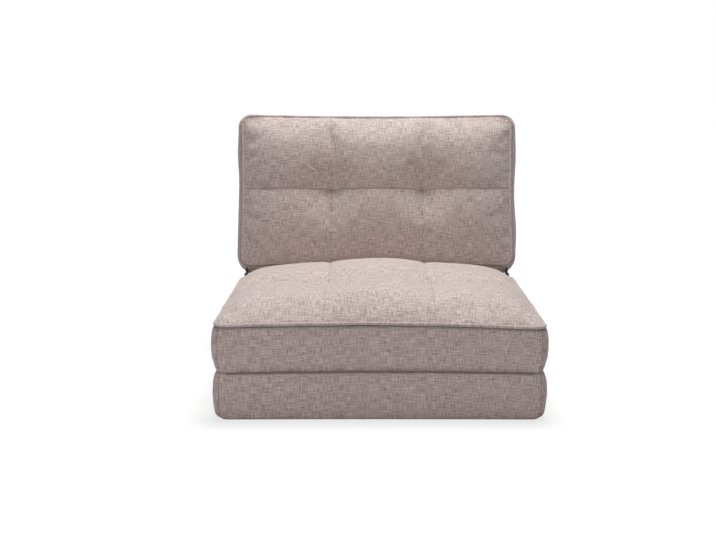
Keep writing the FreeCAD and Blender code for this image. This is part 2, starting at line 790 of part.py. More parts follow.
os.makedirs("parts", exist_ok=True)
print("recline pivot", round(pivot_y, 2), round(pivot_z, 2), "fold axis", round(fold_axis_y, 2))
print("pawl pivot", round(pawl_pivot[0], 2), round(pawl_pivot[1], 2))
for name, shape in all_pieces().items():
    shape.exportStep(f"parts/{name}.step")
    print(name, len(shape.Solids), "solid", round(shape.Volume / 1000, 1), "cm3")
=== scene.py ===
# %% [markdown]
# # A convertible chair bed
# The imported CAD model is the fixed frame: its bodies, joints and sizes are not changed here.
# Each soft pad gets a sewn and stuffed cloth cover in place of its plain solid.

# %% Load the frame
import bpy
import json
import math
import numpy as np
from mathutils import Matrix, Vector
from types import SimpleNamespace


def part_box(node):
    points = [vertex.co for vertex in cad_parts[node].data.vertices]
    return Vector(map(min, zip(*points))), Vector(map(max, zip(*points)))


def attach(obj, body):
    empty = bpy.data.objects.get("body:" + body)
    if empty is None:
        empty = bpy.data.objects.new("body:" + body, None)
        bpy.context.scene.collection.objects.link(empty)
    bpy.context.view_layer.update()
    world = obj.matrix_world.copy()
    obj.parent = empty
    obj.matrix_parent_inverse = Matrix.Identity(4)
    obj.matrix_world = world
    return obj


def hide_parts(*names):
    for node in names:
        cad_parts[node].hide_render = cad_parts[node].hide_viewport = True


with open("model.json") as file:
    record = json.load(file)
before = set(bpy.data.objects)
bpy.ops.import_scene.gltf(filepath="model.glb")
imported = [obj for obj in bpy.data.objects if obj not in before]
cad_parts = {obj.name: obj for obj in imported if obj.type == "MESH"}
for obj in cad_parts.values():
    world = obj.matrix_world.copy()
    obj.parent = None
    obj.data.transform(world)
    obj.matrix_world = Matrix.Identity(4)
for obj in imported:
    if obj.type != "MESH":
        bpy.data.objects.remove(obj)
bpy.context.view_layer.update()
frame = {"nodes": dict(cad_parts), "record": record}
scene = bpy.context.scene

# %% [markdown]
# ## The camera
# The photograph looks at the front from a little above, with the bed just right of the middle.
# A camera could be set by eye. Here its place and lens were worked out from the seat's piped
# corners and the back's edges, so that each edge falls on the same spot as in the photograph.

# %% Camera
photo_width = 716
middle_shift = 5.6
look_down = 9.78
camera_data = bpy.data.cameras.new("photo_camera")
camera_data.sensor_width = 36.0
camera_data.lens = 57.2
camera_data.shift_x = -middle_shift / photo_width
camera = bpy.data.objects.new("photo_camera", camera_data)
camera.location = (-0.036, -2.739, 0.757)
camera.rotation_euler = (math.radians(90 - look_down), 0, 0)
scene.collection.objects.link(camera)
scene.camera = camera
print("camera at", [round(v, 3) for v in camera.location])

# %% [markdown]
# ## Sizes of the pads
# The widths, depths and heights repeat the CAD sizes in metres. `crown` and `middle` raise the
# face, `end_rise` and `low_rise` say how fast it climbs from its far and near ends, and `sag`
# lets one front corner hang. `tuft`, `long_seam` and `cross_seam` are the depths of what is sewn
# in. `bulge` and `pinch` shape the border, `front` and `rear` are their shares on those sides,
# `low_swell` is how full it is near its base, and `lobe` adds fullness at each end of a side.
# `pull_x` and `pull_y` draw the sides in, and `base_crown` domes the base.

# %% Pad sizes
mm = 0.001
seat = SimpleNamespace(
    body="seat", width=0.740, depth=0.620, height=0.106, seed=3,
    crown=40 * mm, middle=12 * mm, end_rise=29 * mm, low_rise=29 * mm, sag=5.5 * mm,
    tuft=22 * mm, long_seam=2.6 * mm, cross_seam=11 * mm,
    bulge=5.5 * mm, pinch=6.5 * mm, front=0.25, rear=0.6, low_swell=(0.10, 0.72), lobe=0,
    pull_x=3.0 * mm, pull_y=3.0 * mm, base_crown=0)
back = SimpleNamespace(
    body="back", width=0.745, depth=0.416, height=0.106, seed=8,
    crown=36 * mm, middle=3 * mm, end_rise=38 * mm, low_rise=58 * mm, sag=0,
    tuft=21 * mm, long_seam=1.6 * mm, cross_seam=8 * mm,
    bulge=13.5 * mm, pinch=6.0 * mm, front=1.7, rear=0.35, low_swell=(0.50, 0.90), lobe=4 * mm,
    pull_x=4.0 * mm, pull_y=6.5 * mm, base_crown=9 * mm)
foot = SimpleNamespace(
    body="foot", width=0.740, depth=0.620, height=0.10585, seed=5, crown=0,
    bulge=4.5 * mm, pinch=5.5 * mm, front=0.25, rear=0.6, lobe=0,
    pull_x=3.0 * mm, pull_y=3.0 * mm, base_crown=0)
print("pads:", [(pad.body, pad.width, pad.depth) for pad in (seat, back, foot)])

# %% [markdown]
# ## Where seams and pads lie
# The piping sits on the rim of each crowned face, so the face stops a little inside the outline.
# Two long seams divide it into three columns. A pad is built lying flat with that face up, and
# the back is then stood up and leaned back, so the weave follows the pad and not the world.

# %% Places of seams and pads
rim_inset = 6.0 * mm
rim_level = 2.4 * mm
corner_radius = 30 * mm
corner_seam_inset = 5 * mm
columns_of_panels = 3
for pad in (seat, back, foot):
    pad.half_x = pad.width / 2 - rim_inset
    pad.half_y = pad.depth / 2 - rim_inset
    pad.seam_x = pad.width / (2 * columns_of_panels)
    pad.corner_x = pad.half_x - corner_seam_inset
seat_base = 106.15 * mm
back_lean = 12
back_edge_y = 0.325
back_edge_z = 0.23815
back_middle = 0.211
seat_place = Matrix.Translation((0, 0, seat_base))
back_place = (Matrix.Translation((0, back_edge_y, back_edge_z))
              @ Matrix.Rotation(math.radians(90 - back_lean), 4, "X")
              @ Matrix.Translation((0, back_middle, -back.height)))
foot_place = Matrix.Identity(4)
print("back stands at", [round(v, 3) for v in back_place.translation])

# %% [markdown]
# ## Nodes in a few words
# Every finish is drawn by shader nodes, which give detail at any distance and need no picture.
# A node tree is long to write out, so these helpers add one node and link its inputs.

# %% Helpers for numbers
def node(tree, kind, **values):
    """A new node, with settings such as its operation given by name."""
    made = tree.nodes.new(kind)
    for name, value in values.items():
        setattr(made, name, value)
    return made


def feed(tree, socket, value):
    """Sets an input to a number or a colour, or links another node's output to it."""
    if isinstance(value, (int, float)):
        socket.default_value = value
    elif isinstance(value, tuple):
        socket.default_value = (*value, 1.0)
    else:
        tree.links.new(value, socket)


def set_inputs(made, values):
    """Constants on a node's own sockets."""
    for name, value in values.items():
        made.inputs[name].default_value = value


def maths(tree, operation, *inputs):
    """A Math node whose inputs are numbers or other nodes' outputs."""
    made = node(tree, "ShaderNodeMath", operation=operation)
    for place, value in enumerate(inputs):
        feed(tree, made.inputs[place], value)
    return made.outputs[0]


def plus(tree, first, second):
    return maths(tree, "ADD", first, second)


def minus(tree, first, second):
    return maths(tree, "SUBTRACT", first, second)


def times(tree, first, second):
    return maths(tree, "MULTIPLY", first, second)


def combine(tree, x, y, z=0.0):
    made = node(tree, "ShaderNodeCombineXYZ")
    for place, value in enumerate((x, y, z)):
        feed(tree, made.inputs[place], value)
    return made.outputs[0]


def noise(tree, vector, scale, detail=2.0, roughness=0.5):
    made = node(tree, "ShaderNodeTexNoise")
    set_inputs(made, {"Scale": scale, "Detail": detail, "Roughness": roughness})
    tree.links.new(vector, made.inputs["Vector"])
    return made.outputs["Fac"]


print("number helpers ready")

# %% [markdown]
# ## Colours and relief
# A colour is written as it is seen on a screen and turned into the linear numbers that shaders
# use. A bump node tilts the light on a surface, which is right for threads and paint that are
# far finer than any mesh could be.

# %% Helpers for colours
def srgb(red, green, blue):
    shares = [c / 255 for c in (red, green, blue)]
    return tuple(c / 12.92 if c <= 0.04045 else ((c + 0.055) / 1.055) ** 2.4 for c in shares)


def ramp(tree, factor, stops):
    made = node(tree, "ShaderNodeValToRGB")
    elements = made.color_ramp.elements
    for element, (place, colour) in zip(elements, stops):
        element.position = place
        element.color = (*colour, 1.0)
    tree.links.new(factor, made.inputs["Fac"])
    return made.outputs["Color"]


def mix_colour(tree, factor, first, second, blend_type="MIX"):
    made = node(tree, "ShaderNodeMix", data_type="RGBA", blend_type=blend_type)
    for name, value in (("Factor", factor), ("A", first), ("B", second)):
        socket = [s for s in made.inputs if s.name == name and s.enabled][0]
        feed(tree, socket, value)
    return [s for s in made.outputs if s.enabled][0]


def add_bump(tree, shader, height, strength, distance):
    bump = node(tree, "ShaderNodeBump")
    set_inputs(bump, {"Strength": strength, "Distance": distance})
    tree.links.new(height, bump.inputs["Height"])
    tree.links.new(bump.outputs["Normal"], shader.inputs["Normal"])


def new_material(name):
    material = bpy.data.materials.new(name)
    material.use_nodes = True
    return material, material.node_tree, material.node_tree.nodes["Principled BSDF"]


print("mid grey as light:", round(srgb(128, 128, 128)[0], 3))

# %% [markdown]
# ## The plane of the weave
# Woven cloth keeps its threads square to its piece. The pattern could be laid on with UVs, but
# these meshes have none. So each spot takes the two coordinates of the plane that it faces.

# %% Plane of the weave
def face_plane(tree):
    """A spot's place on the object, and its two coordinates on the plane it faces, in metres."""
    coords = node(tree, "ShaderNodeTexCoord")
    place = node(tree, "ShaderNodeSeparateXYZ")
    facing = node(tree, "ShaderNodeSeparateXYZ")
    tree.links.new(coords.outputs["Object"], place.inputs[0])
    tree.links.new(coords.outputs["Normal"], facing.inputs[0])
    x, y, z = place.outputs
    nx, ny, nz = [maths(tree, "ABSOLUTE", out) for out in facing.outputs]
    is_top = maths(tree, "GREATER_THAN", nz, maths(tree, "MAXIMUM", nx, ny))
    is_side = maths(tree, "GREATER_THAN", nx, maths(tree, "MAXIMUM", ny, nz))
    u = plus(tree, times(tree, y, is_side), times(tree, x, minus(tree, 1.0, is_side)))
    v = plus(tree, times(tree, y, is_top), times(tree, z, minus(tree, 1.0, is_top)))
    return coords.outputs["Object"], u, v


def turned(tree, u, v, angle):
    """The same plane turned, for cloth that is cut on the bias."""
    c, s = math.cos(angle), math.sin(angle)
    across = plus(tree, times(tree, u, c), times(tree, v, s))
    return across, minus(tree, times(tree, v, c), times(tree, u, s))


print("weave plane ready")

# %% [markdown]
# ## Crossed yarns
# The cover is a melange cloth: pale and dark yarns of uneven thickness cross in a plain weave.
# Two noises are stretched, one along the warp and one along the weft, to draw the slubs. Sine
# waves one yarn wide decide which of the two lies on top.

# %% Crossed yarns
slub_in_warp = 11
slub_in_weft = 14
weft_layer = 4.0


def crossed_yarns(tree, u, v, yarn):
    """Which yarn lies on top, and how pale it is."""
    thick = 0.8 / yarn
    warp_place = combine(tree, times(tree, u, thick), times(tree, v, thick / slub_in_warp))
    weft_place = combine(tree, times(tree, u, thick / slub_in_weft), times(tree, v, thick), weft_layer)
    warp = noise(tree, warp_place, 1.0)
    weft = noise(tree, weft_place, 1.0)
    wave = math.pi / yarn
    across = maths(tree, "SINE", times(tree, u, wave))
    along = maths(tree, "SINE", times(tree, v, wave))
    over = times(tree, across, along)
    top_yarn = plus(tree, 0.5, times(tree, over, 0.5))
    yarns = plus(tree, times(tree, warp, top_yarn), times(tree, weft, minus(tree, 1.0, top_yarn)))
    return over, yarns


print("slubs are", slub_in_warp, "and", slub_in_weft, "yarns long")

# %% [markdown]
# ## Seams and stitches
# A seam lies in a valley where two cloths meet, and its colour is darkened there with painted
# shade; its stitches show as short pale dashes. Each mesh carries a number called `seam_shade` at
# every point, 0 on open cloth and up to 1 deep in a seam, which sets that painted shade. The cloth
# reads it, so one material serves all the covers.

# %% Seams and stitches
painted_seam_shade_strength = 0.85
painted_seam_shade_tint = 0.12
stitch_length = 3.6 * mm
stitch_gap = 0.4
stitch_from = 0.26
stitch_strength = 0.35


def painted_seam_shade_and_stitches(tree, colour, u, v, dark, light):
    """Paints shade into the cloth in its seam valleys and lays pale stitches along them."""
    seam = node(tree, "ShaderNodeAttribute", attribute_name="seam_shade").outputs["Fac"]
    # Painted shade: the colour is darkened where seam_shade is high.
    depth = times(tree, seam, painted_seam_shade_strength)
    colour = mix_colour(tree, depth, colour, tuple(painted_seam_shade_tint * c for c in dark))
    pitch = 2 * math.pi / stitch_length
    thread = plus(tree, *[maths(tree, "SINE", times(tree, place, pitch)) for place in (u, v)])
    stitch = times(tree, maths(tree, "GREATER_THAN", thread, stitch_gap),
                   maths(tree, "GREATER_THAN", seam, stitch_from))
    stitch = times(tree, stitch, stitch_strength)
    return mix_colour(tree, stitch, colour, tuple(0.8 * c for c in light))


print("stitches every", stitch_length / mm, "mm")

# %% [markdown]
# ## Woven linen-look cloth
# Yarns, loose fibres and grain add up to one tone, and a ramp turns it into the two yarn
# colours. Faint wide patches keep a large panel from looking printed. The same tone drives the
# relief, and a little sheen stands for the fuzz that catches light at a low angle.

# %% Cloth
patch_tint = (0.965, 0.945, 0.94)
plain_tint = (1.0, 1.0, 1.0)


def cloth_material(name, dark, light, turn=0.0, yarn=1.5 * mm):
    material, tree, shader = new_material(name)
    where, u, v = face_plane(tree)
    if turn:
        u, v = turned(tree, u, v, turn)
    over, yarns = crossed_yarns(tree, u, v, yarn)
    fibre = noise(tree, where, 1500.0, 1.0)
    grain = noise(tree, where, 420.0, 2.0)
    fuzz = plus(tree, times(tree, fibre, 0.12), times(tree, grain, 0.14))
    tone = plus(tree, times(tree, yarns, 0.74), fuzz)
    colour = ramp(tree, tone, [(0.405, dark), (0.595, light)])
    patches = ramp(tree, noise(tree, where, 5.0, 2.0), [(0.3, patch_tint), (0.7, plain_tint)])
    colour = mix_colour(tree, 1.0, colour, patches, "MULTIPLY")
    colour = painted_seam_shade_and_stitches(tree, colour, u, v, dark, light)
    tree.links.new(colour, shader.inputs["Base Color"])
    relief = plus(tree, maths(tree, "ABSOLUTE", over), times(tree, tone, 1.5))
    add_bump(tree, shader, relief, 0.45, 0.5 * mm)
    rough = plus(tree, 0.82, times(tree, fibre, 0.14))
    tree.links.new(rough, shader.inputs["Roughness"])
    set_inputs(shader, {"Specular IOR Level": 0.25, "Sheen Weight": 0.30, "Sheen Roughness": 0.55,
                        "Sheen Tint": (1.0, 0.97, 0.95, 1.0)})
    return material


cover_cloth = cloth_material("cover_cloth", srgb(158, 140, 137), srgb(229, 214, 209))
piping_cloth = cloth_material("piping_cloth", srgb(158, 140, 137), srgb(230, 216, 211),
                              turn=math.pi / 4, yarn=1.3 * mm)
band_cloth = cloth_material("band_cloth", srgb(120, 104, 100), srgb(168, 150, 146), yarn=1.2 * mm)
tie_cord = cloth_material("tie_cord", srgb(170, 160, 144), srgb(214, 206, 190), yarn=0.8 * mm)
print("cloths:", cover_cloth.name, piping_cloth.name, band_cloth.name, tie_cord.name)

# %% [markdown]
# ## Black hinge metal
# The hinge plates are powder coated: a fine orange peel, a satin gloss, and paler worn edges.
# Pointiness tells where an edge is, so the wear needs no painted map. The plates and tubes of
# the CAD model have the right shape already, so they only get a finish.

# %% Painted metal
edge_from = 0.56
scuff_from = 0.55
dust_dark = (0.85, 0.85, 0.85)
dust_pale = (1.15, 1.13, 1.1)


def painted_metal(name, paint, worn, peel, gloss):
    material, tree, shader = new_material(name)
    coords = node(tree, "ShaderNodeTexCoord").outputs["Object"]
    edge = node(tree, "ShaderNodeNewGeometry").outputs["Pointiness"]
    scuff = noise(tree, coords, 90.0, 4.0, 0.6)
    wear = times(tree, maths(tree, "GREATER_THAN", edge, edge_from),
                 maths(tree, "GREATER_THAN", scuff, scuff_from))
    colour = mix_colour(tree, times(tree, wear, 0.6), paint, worn)
    dust = ramp(tree, noise(tree, coords, 14.0, 3.0), [(0.35, dust_dark), (0.7, dust_pale)])
    tree.links.new(mix_colour(tree, 1.0, colour, dust, "MULTIPLY"), shader.inputs["Base Color"])
    rough = plus(tree, gloss, times(tree, scuff, 0.2))
    tree.links.new(rough, shader.inputs["Roughness"])
    add_bump(tree, shader, noise(tree, coords, peel, 2.0), 0.25, 0.2 * mm)
    return material


bare_steel = srgb(120, 118, 116)
hinge_paint = painted_metal("hinge_paint", srgb(34, 32, 33), bare_steel, 900.0, 0.38)
frame_paint = painted_metal("frame_paint", srgb(44, 43, 44), bare_steel, 700.0, 0.42)
fastener_black = painted_metal("fastener_black", srgb(52, 50, 50), srgb(150, 148, 144), 1400.0, 0.30)
finishes = {"frame": frame_paint, "hinge": hinge_paint, "fastener": fastener_black, "twine": tie_cord}
finished = 0
for row in frame["record"]["subparts"]:
    finish = finishes.get(row["material_slot"])
    if finish:
        mesh = frame["nodes"][row["node"]].data
        mesh.materials.clear()
        mesh.materials.append(finish)
        finished += 1
print("finished", finished, "CAD nodes")

# %% [markdown]
# ## Hanging a piece on the frame
# Every new piece rides on a body, stands for the CAD nodes that it hides, and takes the finish
# that it is given. One helper does this for covers, cords and leaves alike.

# %% Helpers for pieces
def sheet_faces(rows, columns):
    """The squares of a grid of points that is listed row by row."""
    faces = []
    for row in range(rows - 1):
        for column in range(columns - 1):
            a = row * columns + column
            faces.append((a, a + 1, a + 1 + columns, a + columns))
    return faces


def dress(name, mesh, cloth, place, body, replaced):
    """Makes a mesh into a piece that rides on a body and stands for CAD nodes."""
    mesh.materials.append(cloth)
    piece = bpy.data.objects.new(name, mesh)
    scene.collection.objects.link(piece)
    piece.matrix_world = place
    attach(piece, body)
    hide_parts(*replaced)
    return piece


def smooth_mesh(name, points, faces):
    """A mesh whose faces are shaded as one round surface."""
    mesh = bpy.data.meshes.new(name)
    mesh.from_pydata(points.tolist(), [], faces)
    mesh.polygons.foreach_set("use_smooth", [True] * len(mesh.polygons))
    return mesh


print("squares of a 2 by 3 grid:", sheet_faces(2, 3))

# %% [markdown]
# ## Stuffing a cover
# A real cover is cut, sewn and stuffed, and its folds come from too much cloth over too little
# filling. They could be modelled by hand. Here Blender's Cloth finds them: a coarse sheet is
# held at its seams and tufts, and pressure pushes it out with a little slack.

# %% Cloth settings
stuffing_pressure = 4.0
cloth_slack = 0.022
stuffing_steps = 20
least_hold = 0.001


def add_stuffing(sheet, held):
    """Gives a sheet the Cloth that stuffs it, held where it is sewn."""
    sewn = sheet.vertex_groups.new(name="sewn")
    for index, weight in enumerate(held.ravel()):
        if weight > least_hold:
            sewn.add([index], float(weight), "REPLACE")
    cloth = sheet.modifiers.new("stuffing", "CLOTH")
    settings = cloth.settings
    settings.quality = 5
    settings.mass = 0.3
    settings.tension_stiffness = 12
    settings.compression_stiffness = 6
    settings.shear_stiffness = 4
    settings.bending_stiffness = 0.3
    settings.use_pressure = True
    settings.uniform_pressure_force = stuffing_pressure
    settings.shrink_min = -cloth_slack
    settings.vertex_group_mass = "sewn"
    settings.pin_stiffness = 1.0
    settings.effector_weights.gravity = 0.0
    cloth.collision_settings.use_collision = False


print("stuffing simulated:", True)

# %% [markdown]
# ## Keeping only the movements
# The stuffed sheet is too coarse to wear. Only how far each of its points moved is kept, with a
# cap, and the sheet is thrown away. A fine mesh can then take the folds and keep crisp seams.

# %% Stuffed sheet
most_travel = 9 * mm


def stuff_sheet(points, held):
    """How far each point of a sewn sheet moves when the pad under it is stuffed."""
    rows, columns = points.shape[:2]
    mesh = bpy.data.meshes.new("stuffing_sheet")
    mesh.from_pydata(points.reshape(-1, 3).tolist(), [], sheet_faces(rows, columns))
    sheet = bpy.data.objects.new("stuffing_sheet", mesh)
    scene.collection.objects.link(sheet)
    add_stuffing(sheet, held)
    for step in range(1, stuffing_steps + 1):
        scene.frame_set(step)
    shaped = sheet.evaluated_get(bpy.context.evaluated_depsgraph_get()).to_mesh()
    moved = np.zeros(rows * columns * 3, np.float32)
    shaped.vertices.foreach_get("co", moved)
    travel = moved.reshape(rows, columns, 3) - points
    reach = np.linalg.norm(travel, axis=2, keepdims=True)
    travel *= np.minimum(1.0, most_travel / np.maximum(reach, 1e-9))
    bpy.data.objects.remove(sheet)
    bpy.data.meshes.remove(mesh)
    scene.frame_set(1)
    return travel


print("cloth may move up to", most_travel / mm, "mm")

# %% [markdown]
# ## The sewing grid of a pad
# Lines crowd together at each seam, so that a seam can be a narrow valley without a fine mesh
# everywhere. The square grid is pressed into round corners, and its sides are drawn in between
# the corners, as a full pad pulls its own cloth.

# %% Sewing grid
seam_clear = 4.5 * mm
seam_offsets = (-4, -2.7, -1.7, -0.9, -0.3, 0.3, 0.9, 1.7, 2.7, 4)
grid_steps = dict(seat=4.5 * mm, back=4.0 * mm, foot=9.0 * mm)


def sewing_lines(half, seams, step):
    """Even lines from one side to the other, with a close group at each seam."""
    count = int(math.ceil(half / step)) * 2 + 1
    lines = [v for v in np.linspace(-half, half, count) if all(abs(v - s) > seam_clear for s in seams)]
    for seam in seams:
        lines += [seam + offset * mm for offset in seam_offsets]
    return np.array(sorted(lines))


def sewing_grid(pad):
    across = (-pad.corner_x, pad.corner_x)
    along = ()
    if pad.crown > 0:
        across += (-pad.seam_x, pad.seam_x)
        along = (0.0,)
    step = grid_steps[pad.body]
    return sewing_lines(pad.half_x, across, step), sewing_lines(pad.half_y, along, step)


def round_plan(x, y, half_x, half_y, radius):
    """Moves square-grid points so that the outline has round corners."""
    over_x = np.clip((np.abs(x) - (half_x - radius)) / radius, 0, 1)
    over_y = np.clip((np.abs(y) - (half_y - radius)) / radius, 0, 1)
    corner = (over_x > 0) & (over_y > 0)
    new_x = half_x - radius + radius * over_x * np.sqrt(1 - over_y ** 2 / 2)
    new_y = half_y - radius + radius * over_y * np.sqrt(1 - over_x ** 2 / 2)
    return np.where(corner, np.sign(x) * new_x, x), np.where(corner, np.sign(y) * new_y, y)


def draw_in(x, y, pad):
    """Pulls the sides of a stuffed pad in between its corners."""
    half_x, half_y = pad.width / 2, pad.depth / 2
    share_x = 1 - pad.pull_x / half_x * (1 - np.clip(y / half_y, -1, 1) ** 2)
    share_y = 1 - pad.pull_y / half_y * (1 - np.clip(x / half_x, -1, 1) ** 2)
    return x * share_x, y * share_y


print("seat grid:", [len(lines) for lines in sewing_grid(seat)], "lines")

# %% [markdown]
# ## Edges that are not straight
# Cloth pulled over a full pad lifts the middle of each side and lets the corners droop. In the
# photograph the piping does this, its right front corner hangs lowest, and the fold line below
# does it less. Both are smooth formulas, so piping, border and face can share them.

# %% Waves of the edges
rim_lift = 6.0 * mm
rim_droop = 5.5 * mm
fold_lift = 4.5 * mm
fold_droop = 5.0 * mm


def corner_share(x, y, pad):
    """0 along the middle lines of a pad and 1 at its corners."""
    return (2 * x / pad.width) ** 2 * (2 * y / pad.depth) ** 2


def rim_wave(x, y, pad):
    """How far the piped rim is lifted."""
    right = np.clip(2 * x / pad.width, 0, 1) ** 1.5
    front = np.clip(0.5 - y / pad.depth, 0, 1)
    return rim_lift - rim_droop * corner_share(x, y, pad) - pad.sag * right * front


def fold_wave(x, y, pad):
    """How far the line is lifted where the seat rests on the foot pad."""
    return fold_lift - fold_droop * corner_share(x, y, pad)


print("rim lift", rim_lift / mm, "mm, fold lift", fold_lift / mm, "mm")

# %% [markdown]
# ## Pulled folds
# Short folds run out from the tufts and the seat's front corners. Each is drawn as a line with a
# depth and a width, all in millimetres, because a fold in just the right place is more than a
# simulation can be asked for.

# %% Pulled folds
fold_bend = 0.10
ridge_share = 0.42


def pulled_fold(x, y, start, end, depth, width):
    """A narrow valley with a soft ridge beside it, which fades at both ends."""
    run_x, run_y = end[0] - start[0], end[1] - start[1]
    length = math.hypot(run_x, run_y)
    along = ((x - start[0]) * run_x + (y - start[1]) * run_y) / length ** 2
    bend = fold_bend * length * np.sin(np.clip(along, 0, 1) * math.pi)
    across = ((x - start[0]) * run_y - (y - start[1]) * run_x) / length + bend
    fade = np.exp(-(np.maximum(np.abs(along - 0.5) - 0.35, 0) / 0.16) ** 2)
    valley = -depth * np.exp(-(across / width) ** 2)
    ridge = ridge_share * depth * np.exp(-((across - 2.1 * width) / (1.4 * width)) ** 2)
    return (valley + ridge) * fade


folds = {
    "back": [((-182, 64), (-138, 14), 4.8, 3.6),
             ((-112, -105), (-92, -150), 2.0, 7.0),
             ((-150, -20), (-205, -62), 1.2, 7.0),
             ((98, 20), (62, 60), 1.2, 7.0),
             ((150, 22), (205, 58), 1.4, 7.0),
             ((120, -30), (118, -92), 1.0, 8.0)],
    "seat": [((-145, -20), (-200, -85), 1.8, 7.0),
             ((-100, -18), (-60, -70), 1.3, 7.0),
             ((145, -22), (212, -70), 1.7, 7.0),
             ((100, 20), (50, 66), 1.4, 8.0),
             ((-348, -280), (-296, -262), 2.4, 3.4),
             ((348, -278), (296, -252), 2.6, 3.4),
             ((-346, -258), (-310, -218), 1.8, 4.5),
             ((330, -205), (345, -150), 1.2, 5.0)],
}
print("pulled folds:", {body: len(lines) for body, lines in folds.items()})

# %% [markdown]
# ## The crowned face
# A filled cover climbs quickly from its piping and is nearly flat on top. The seat's rear corners
# fall away, as in the photograph, and each of the six panels puffs up a little on its own.

# %% Dome
side_rise = 36 * mm
rear_flat_reach = 0.12
rear_flat = 0.42
puff_share = 0.10
puff_square = 2.4


def crown_rise(x, y, pad):
    """How much of its full height the crown has reached, from 0 at the rim to 1."""
    from_side = np.maximum(pad.half_x - np.abs(x), 0)
    from_end = np.maximum(pad.half_y - np.abs(y), 0)
    end_rise = np.where(y < 0, pad.low_rise, pad.end_rise)
    rise = (1 - np.exp(-(from_side / side_rise) ** 0.98)) * (1 - np.exp(-(from_end / end_rise) ** 1.02))
    if pad.body == "seat":
        from_rear = np.maximum(pad.half_y - y, 0)
        near_corner = np.exp(-(from_side ** 2 + from_rear ** 2) / rear_flat_reach ** 2)
        rise = rise * (1 - rear_flat * near_corner)
    return rise


def panel_puff(x, y, pad):
    """1 in the middle of each of the six panels and 0 on the lines between them."""
    seam_x = pad.seam_x
    outer = (np.abs(x) - seam_x) / (pad.half_x - seam_x) * 2 - 1
    column = np.where(np.abs(x) < seam_x, x / seam_x, outer)
    row = np.abs(y) / pad.half_y * 2 - 1
    return (1 - np.abs(column) ** puff_square) * (1 - np.abs(row) ** puff_square)


def crown_dome(x, y, pad, rise):
    """The smooth filling, before anything is sewn into it."""
    slow = 0.86 + 0.14 * np.cos(x / pad.half_x * 1.3) * np.cos(y / pad.half_y * 1.1)
    middle = np.exp(-(x / (0.95 * pad.seam_x)) ** 2)
    puff = puff_share * pad.crown * panel_puff(x, y, pad)
    return pad.crown * rise * slow + (puff + pad.middle * middle) * rise


print("dome heights:", seat.crown / mm, "and", back.crown / mm, "mm")

# %% [markdown]
# ## Sewn into the crown
# The long seams are shallow, the cross seam is deeper and wider, and the two tufts are deep pits
# with a sharp middle where the tie pulls. Their depths fall off by smooth curves, because
# filling yields softly beside a stitch line.

# %% Sewn face
long_seam_reach = 16 * mm
cross_seam_reach = 34 * mm
tuft_reach = 46 * mm
tuft_pit_reach = 11 * mm
tuft_pit_share = 0.22


def crown_height(x, y, pad):
    """Height of the sewn and tufted face above its rim."""
    rise = crown_rise(x, y, pad)
    height = crown_dome(x, y, pad, rise)
    to_long = np.abs(np.abs(x) - pad.seam_x)
    height -= pad.long_seam * np.exp(-to_long / long_seam_reach) * rise
    height -= pad.cross_seam * np.exp(-(np.abs(y) / cross_seam_reach) ** 1.05) * rise
    to_tuft = np.hypot(to_long, 0.9 * y)
    bowl = (1 - tuft_pit_share) * np.exp(-(to_tuft / tuft_reach) ** 1.5)
    pit = tuft_pit_share * np.exp(-to_tuft / tuft_pit_reach)
    height -= pad.tuft * (bowl + pit)
    for start, end, depth, width in folds[pad.body]:
        height += pulled_fold(x / mm, y / mm, start, end, depth, width) * mm
    return height


print("height in the seat's middle:", crown_height(np.zeros(1), np.zeros(1), seat).round(4))

# %% [markdown]
# ## Hand filling
# No real pad is even. A few slow sine waves in random directions, always drawn from the same
# seed, stand for filling that was pushed in by hand.

# %% Slow waves
def soft_waves(x, y, z, seed, size, height):
    """Uneven waves of about the given length and height."""
    random = np.random.default_rng(seed)
    total = np.zeros_like(x)
    for _ in range(9):
        direction = random.normal(size=3)
        direction *= 2 * math.pi / size / np.linalg.norm(direction) * random.uniform(0.6, 1.5)
        total += np.sin(x * direction[0] + y * direction[1] + z * direction[2] + random.uniform(0, 6.28))
    return total / 9 * height * 2


print("waves ready")

# %% [markdown]
# ## From the coarse sheet to the fine face
# The stuffed sheet is sewn down hard at the rim and the tufts and half-heartedly along the
# seams. Its movements are smoothed once and read off at every crossing of the sewing lines.

# %% Stuffed face
sheet_step = 9 * mm


def sample(field, rows, columns):
    """Reads a coarse field of movements at fractional rows and columns."""
    r0 = np.clip(np.floor(rows).astype(int), 0, field.shape[0] - 2)
    c0 = np.clip(np.floor(columns).astype(int), 0, field.shape[1] - 2)
    fr = (rows - r0)[..., None]
    fc = (columns - c0)[..., None]
    low = field[r0, c0] * (1 - fc) + field[r0, c0 + 1] * fc
    high = field[r0 + 1, c0] * (1 - fc) + field[r0 + 1, c0 + 1] * fc
    return low * (1 - fr) + high * fr


def smoothed(field):
    """Each movement averaged with its four neighbours."""
    wide = np.pad(field, ((1, 1), (1, 1), (0, 0)), mode="edge")
    return (wide[:-2, 1:-1] + wide[2:, 1:-1] + wide[1:-1, :-2] + wide[1:-1, 2:] + 4 * field) / 8


def sewn_hold(x, y, pad):
    """How firmly each point of the sheet is held: at the tufts, the seams and the rim."""
    from_seam = np.abs(x) - pad.seam_x
    held = np.exp(-(np.hypot(from_seam, y) / 0.012) ** 4)
    held = np.maximum(held, 0.25 * np.exp(-(from_seam / 0.006) ** 2))
    held = np.maximum(held, 0.35 * np.exp(-(y / 0.006) ** 2))
    from_rim = np.minimum(pad.half_x - np.abs(x), pad.half_y - np.abs(y))
    return np.maximum(held, np.exp(-(from_rim / 0.007) ** 2))


